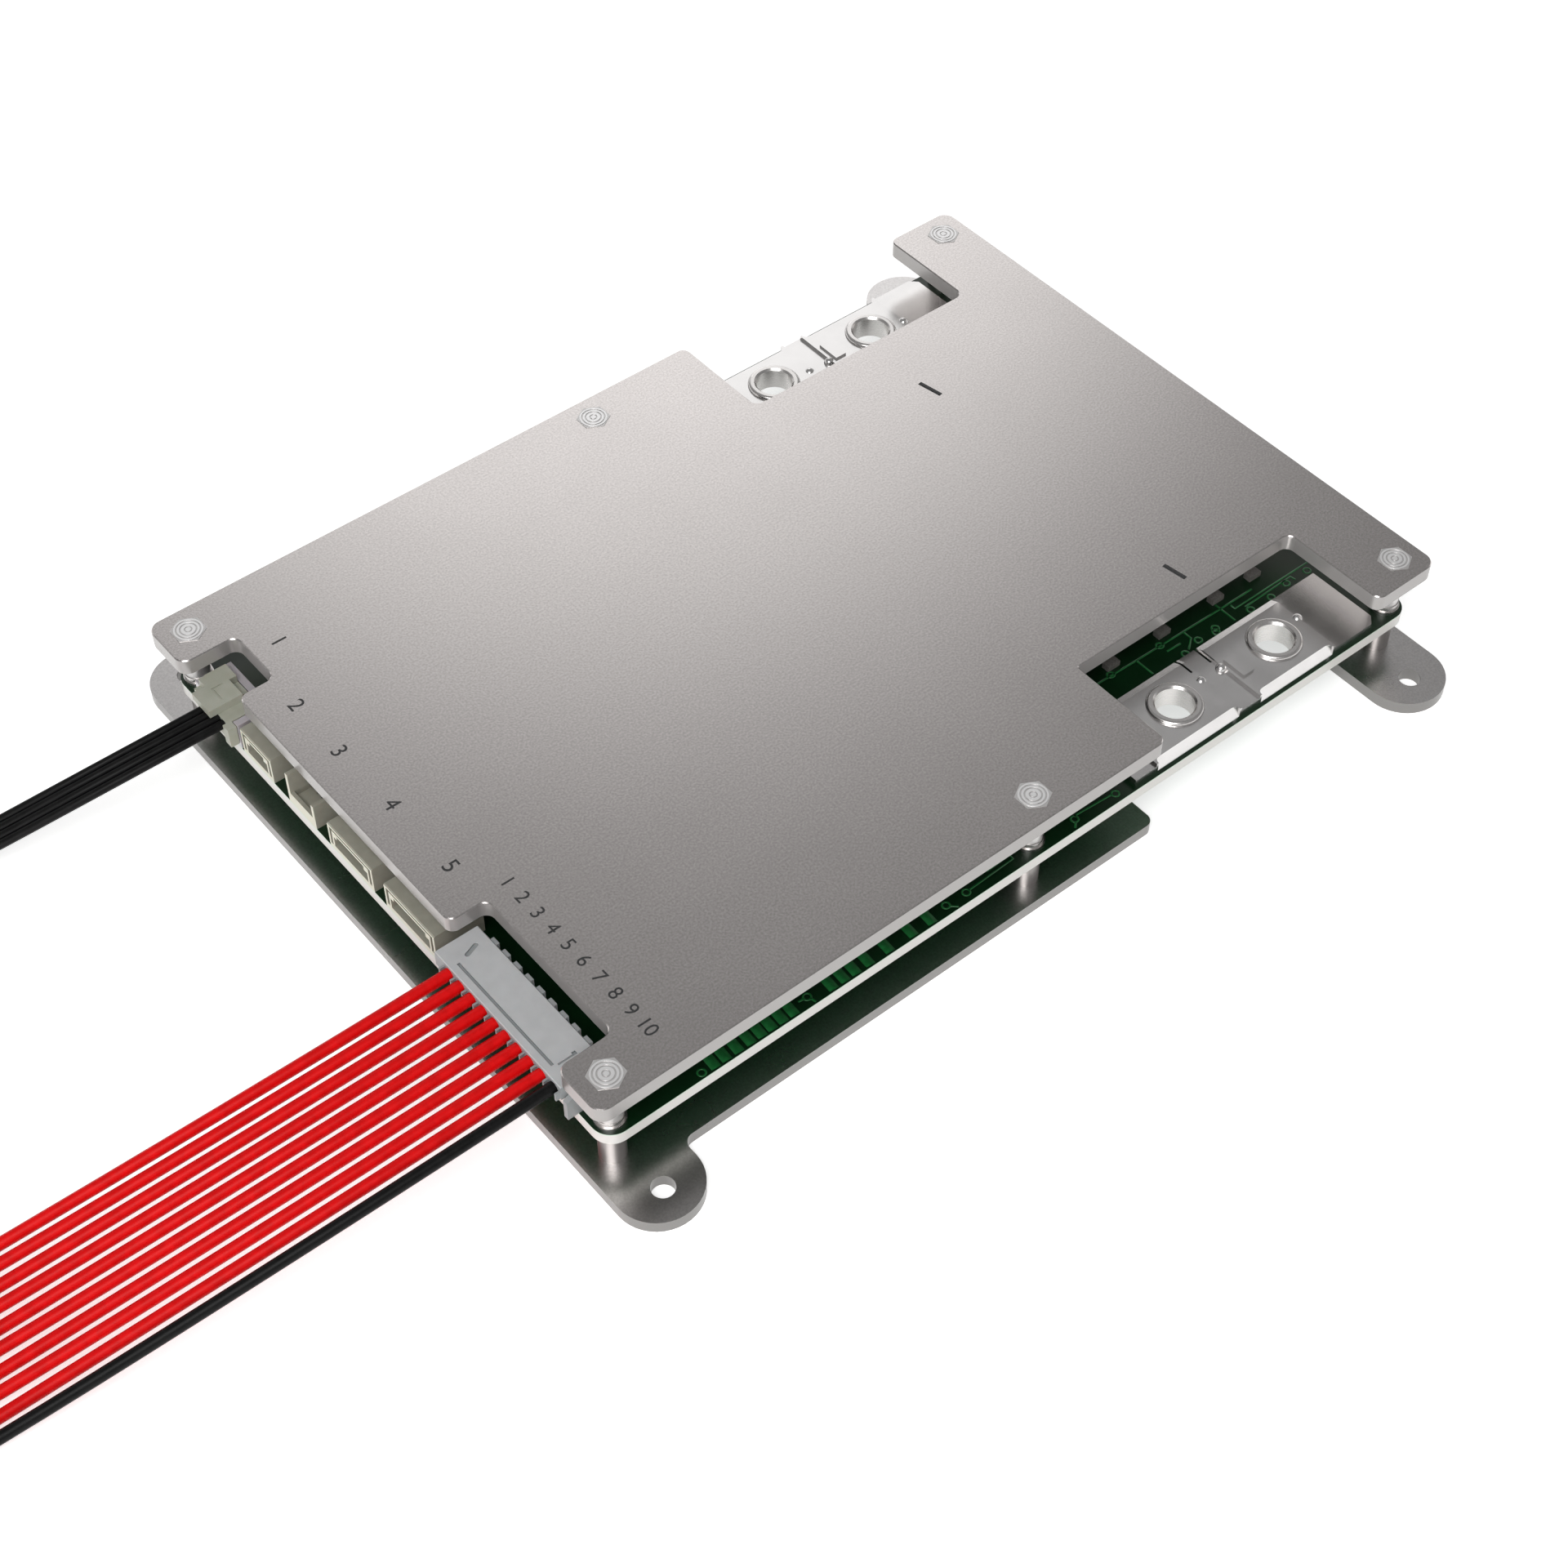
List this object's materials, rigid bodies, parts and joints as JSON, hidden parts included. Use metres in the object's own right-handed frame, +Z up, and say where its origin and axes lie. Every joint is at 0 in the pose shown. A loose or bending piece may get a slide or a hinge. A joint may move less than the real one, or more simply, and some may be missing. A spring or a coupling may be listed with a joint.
{
  "type": "battery management board",
  "caption": "Battery management board between a base plate with mounting ears and a flat metal cover, with bolt terminals on both long sides and free wires from plugs on one end.",
  "frame": {"origin": "middle of the base plate's underside, between its four ear holes", "axes": "+X from the connector edge to the far short edge, +Y from the battery terminals to the load terminals, +Z up from the base plate to the cover"},
  "size_m": [0.324, 0.124, 0.019],
  "materials": {
    "cover": "satin",
    "base": "satin",
    "board": "satin",
    "steel": "bright",
    "tin": "tinned",
    "header": "matte",
    "plug": "satin",
    "black_plastic": "matte",
    "pad": "matte",
    "red_wire": "satin",
    "black_wire": "satin",
    "can": "bright"
  },
  "bodies": {
    "root": {"base_plate": "base", "cover_plate": "cover", "circuit_board": "board", "base_studs": "steel", "lower_spacers": "steel", "flat_washers": "steel", "lock_washers": "steel", "cover_standoffs": "steel", "battery_bar": "tin", "load_bar": "tin", "battery_nuts": "steel", "load_nuts": "steel", "three_way_header": "header", "four_way_header": "header", "five_way_header": "header", "open_header": "header", "header_pins": "tin", "sensor_header": "header", "sensor_plug": "header", "balance_header": "plug", "balance_plug": "plug", "power_transistors": "black_plastic", "thermal_pads": "pad", "current_shunts": "tin", "controller_chip": "black_plastic", "monitor_chip": "black_plastic", "filter_cans": "can", "power_inductor": "black_plastic", "small_chips": "black_plastic", "bleed_resistors": "black_plastic", "balance_wire_coil": "red_wire", "sensor_wire_coil": "black_wire", "cable_ties": "black_plastic", "sensor_beads": "black_plastic", "balance_wire_01": "red_wire", "balance_wire_02": "red_wire", "balance_wire_03": "red_wire", "balance_wire_04": "red_wire", "balance_wire_05": "red_wire", "balance_wire_06": "red_wire", "balance_wire_07": "red_wire", "balance_wire_08": "red_wire", "balance_wire_09": "red_wire", "balance_wire_10": "black_wire", "sensor_wire_1": "black_wire", "sensor_wire_2": "black_wire", "sensor_wire_3": "black_wire", "sensor_wire_4": "black_wire"}
  },
  "joints": []
}
